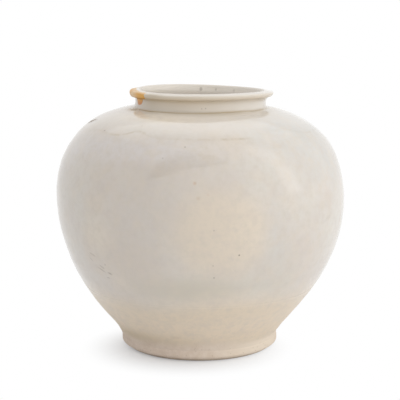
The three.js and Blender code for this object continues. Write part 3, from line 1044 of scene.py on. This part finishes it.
# %% Gold lacquer
GOLD = colour("#D7A14A")
GOLD_THIN_AND_LIT = colour("#E6CBA4")
GOLD_WORN = colour("#C28048")
GOLD_ROUGH = 0.38
GOLD_METAL = 0.45
THIN_METAL = 0.1


def gold_lacquer(tree):
    """Finish of the mend: gold, paler and less metallic where the powder is thin and a highlight is painted,
    brown where worn.
    """
    place = add(tree, "TexCoord", {}).outputs["Object"]
    wear = {name: add(tree, "Attribute", {}, attribute_name=name).outputs["Fac"] for name in gold_wear}
    polish = add(tree, "TexNoise", {"Vector": place, "Scale": per_mm(2.5), "Detail": 4.0})
    uneven = add(tree, "MapRange", {"Value": polish.outputs["Fac"], "From Min": 0.3, "From Max": 0.7,
                                    "To Min": 0.7})
    thin = add(tree, "Math", {0: wear["thin_gold_and_highlight"], 1: uneven.outputs[0]}, operation="MULTIPLY")
    tone = add(tree, "Mix", {0: thin.outputs[0], 6: GOLD, 7: GOLD_THIN_AND_LIT}, data_type="RGBA")
    tone = add(tree, "Mix", {0: wear["worn_tip"], 6: tone.outputs[2], 7: GOLD_WORN}, data_type="RGBA")
    metal = add(tree, "MapRange", {"Value": thin.outputs[0], "To Min": GOLD_METAL, "To Max": THIN_METAL})
    bump = add(tree, "Bump", {"Height": polish.outputs["Fac"], "Strength": 0.3, "Distance": 0.1 * MM})
    return add(tree, "BsdfPrincipled", {"Base Color": tone.outputs[2], "Metallic": metal.outputs[0],
                                        "Roughness": GOLD_ROUGH, "Normal": bump.outputs[0]})


dress(gold_mend, "gold_lacquer", gold_lacquer)

# %% [markdown]
# ## Floor and light
#
# The jar stands on a white studio sweep. The floor shows its own shading only near the foot, where the shadow
# lies. Further out the camera sees plain white, so floor and background meet without a line. Six soft boxes
# light the jar. A large one above and behind and a fill overhead light the shoulder and the mouth. A box at
# the right and two narrow strips at its edge draw the reflections, and a fill at the front right models the
# round of the belly.

# %% Floor
FLOOR_HALF = 4.0
SHADOW_CENTRE = (-0.010, -0.018, 0.0)
SHADOW_NEAR = 0.026
SHADOW_FAR = 0.0875
SHADOW_LIFT = 0.13
FLOOR_WHITE = colour("#F0F3F8")

corners = np.array([(-1, -1, 0), (1, -1, 0), (1, 1, 0), (-1, 1, 0)]) * FLOOR_HALF
floor = new_object("studio_floor", corners, [(0, 1, 2, 3)])


def seen_rays(tree):
    """1 for rays that show the background itself: from the camera, a gloss or a glass."""
    rays = add(tree, "LightPath", {}).outputs
    seen = rays["Is Camera Ray"]
    for kind in ("Is Glossy Ray", "Is Transmission Ray"):
        seen = add(tree, "Math", {0: seen, 1: rays[kind]}, operation="MAXIMUM").outputs[0]
    return seen


def studio_white(tree):
    """Finish of the floor: shaded white round the foot, easing to plain white with the distance."""
    place = add(tree, "TexCoord", {}).outputs["Object"]
    away = add(tree, "VectorMath", {0: place, 1: SHADOW_CENTRE}, operation="DISTANCE")
    far = add(tree, "MapRange", {"Value": away.outputs["Value"], "From Min": SHADOW_NEAR,
                                 "From Max": SHADOW_FAR, "To Min": SHADOW_LIFT},
              interpolation_type="SMOOTHSTEP")
    share = add(tree, "Math", {0: far.outputs[0], 1: seen_rays(tree)}, operation="MULTIPLY")
    shaded = add(tree, "BsdfDiffuse", {"Color": FLOOR_WHITE})
    plain = add(tree, "Emission", {"Strength": 1.0})
    return add(tree, "MixShader", {0: share.outputs[0], 1: shaded.outputs[0], 2: plain.outputs[0]})


dress(floor, "studio_white", studio_white)

# %% Lights
LIGHT_TARGET = Vector((0.0, 0.0, 0.12))
# Degrees from the front, degrees up, distance, width, height, radiance, and whether the gloss shows it
SOFT_BOXES = {
    "overhead_box": (180.0, 62.0, 1.3, 1.8, 0.82, 0.485, True),
    "top_fill": (0.0, 88.0, 1.3, 1.0, 0.9, 0.485, False),
    "right_box": (102.0, 28.0, 1.25, 1.17, 1.4, 0.235, True),
    "right_edge": (75.5, 19.0, 1.25, 0.3, 0.5, 0.95, True),
    "right_edge_top": (73.5, 48.0, 1.25, 0.28, 0.72, 0.6, True),
    "right_fill": (42.0, 15.0, 1.5, 1.6, 1.6, 0.925, False),
}


def direction(turn_from_front, rise):
    """Unit vector from the jar: so many degrees round from the front towards +X, and up from level."""
    turned, risen = np.radians(turn_from_front), np.radians(rise)
    return np.stack([np.sin(turned) * np.cos(risen), -np.cos(turned) * np.cos(risen), np.sin(risen)], -1)


def soft_box(name, turn_from_front, rise, distance, width, tall, radiance, shows):
    """A rectangle of light that faces the jar. Its power is pi times its radiance and its area."""
    lamp = bpy.data.lights.new(name, "AREA")
    lamp.shape = "RECTANGLE"
    lamp.size = width
    lamp.size_y = tall
    lamp.energy = math.pi * radiance * width * tall
    holder = bpy.data.objects.new(name, lamp)
    bpy.context.scene.collection.objects.link(holder)
    outward = Vector(direction(turn_from_front, rise))
    holder.location = LIGHT_TARGET + distance * outward
    holder.rotation_euler = outward.to_track_quat("Z", "Y").to_euler()
    holder.visible_glossy = shows
    print(name, "gives", round(lamp.energy, 2), "watts")


for box_name, box in SOFT_BOXES.items():
    soft_box(box_name, *box)

# %% Background
AMBIENT = 0.605
WHITE = colour("#FFFFFF")

world = bpy.data.worlds.new("studio")
bpy.context.scene.world = world
world.use_nodes = True
sky = world.node_tree
sky.nodes.clear()
dim = add(sky, "Background", {"Color": WHITE, "Strength": AMBIENT})
white = add(sky, "Background", {"Color": WHITE, "Strength": 1.0})
seen = add(sky, "MixShader", {0: seen_rays(sky), 1: dim.outputs[0], 2: white.outputs[0]})
add(sky, "OutputWorld", {"Surface": seen.outputs[0]})
print("background lights the jar at", AMBIENT, "of white")

# %% [markdown]
# ### Dim card
#
# In the photograph a dim band crosses the front of the shoulder: the glaze mirrors the gap between the soft
# box overhead and the white cloth in front. A card with the outline of that gap stands there and shows only
# in reflections, so that it takes no light away. It is dark along its foot and fades to white at the other
# edges.

# %% Outline of the dim card
CARD_DISTANCE = 1.5
CARD_GLOW = 0.02
CARD_LEFT = -48.0
CARD_RIGHT = 34.0
CARD_FOOT = 42.3
CARD_LEAN = 0.32
CARD_BEND = 0.0028
CARD_RISE = 47.0
CARD_LEFT_FADE = (0.0, 0.12)
CARD_RIGHT_FADE = (0.86, 1.0)
CARD_TOP_FADE = (0.44, 1.0)

card_across, card_share = np.meshgrid(np.linspace(0.0, 1.0, 61), np.linspace(0.0, 1.0, 25))
card_turn = CARD_LEFT + card_across * (CARD_RIGHT - CARD_LEFT)
card_foot = CARD_FOOT + CARD_LEAN * card_turn - CARD_BEND * card_turn**2
card_height = CARD_RISE * (1.0 - card_across**1.8) * np.sqrt(np.clip(card_across / 0.05, 0.0, 1.0))
card_dim = ease(*CARD_LEFT_FADE, card_across) * (1.0 - ease(*CARD_RIGHT_FADE, card_across))
card_dim = card_dim * (1.0 - ease(*CARD_TOP_FADE, card_share))
card_direction = direction(card_turn, card_foot + card_share * card_height)
card_points = np.array(LIGHT_TARGET) + CARD_DISTANCE * card_direction
print("dim card rises by up to", round(float(card_height.max())), "degrees")

# %% Dim card
def dim_cloth(tree):
    """Finish of the card: it glows as strongly as the number stored on each point."""
    glow = add(tree, "Attribute", {}, attribute_name="glow").outputs["Fac"]
    return add(tree, "Emission", {"Strength": glow})


card_faces = sheet_faces(np.arange(card_turn.size).reshape(card_turn.shape))
card = new_object("dim_card", card_points.reshape(-1, 3), card_faces.tolist())
paint(card, "glow", 1.0 - (1.0 - CARD_GLOW) * card_dim)
dress(card, "dim_cloth", dim_cloth)
for kind in ("camera", "diffuse", "transmission", "volume_scatter", "shadow"):
    setattr(card, "visible_" + kind, False)
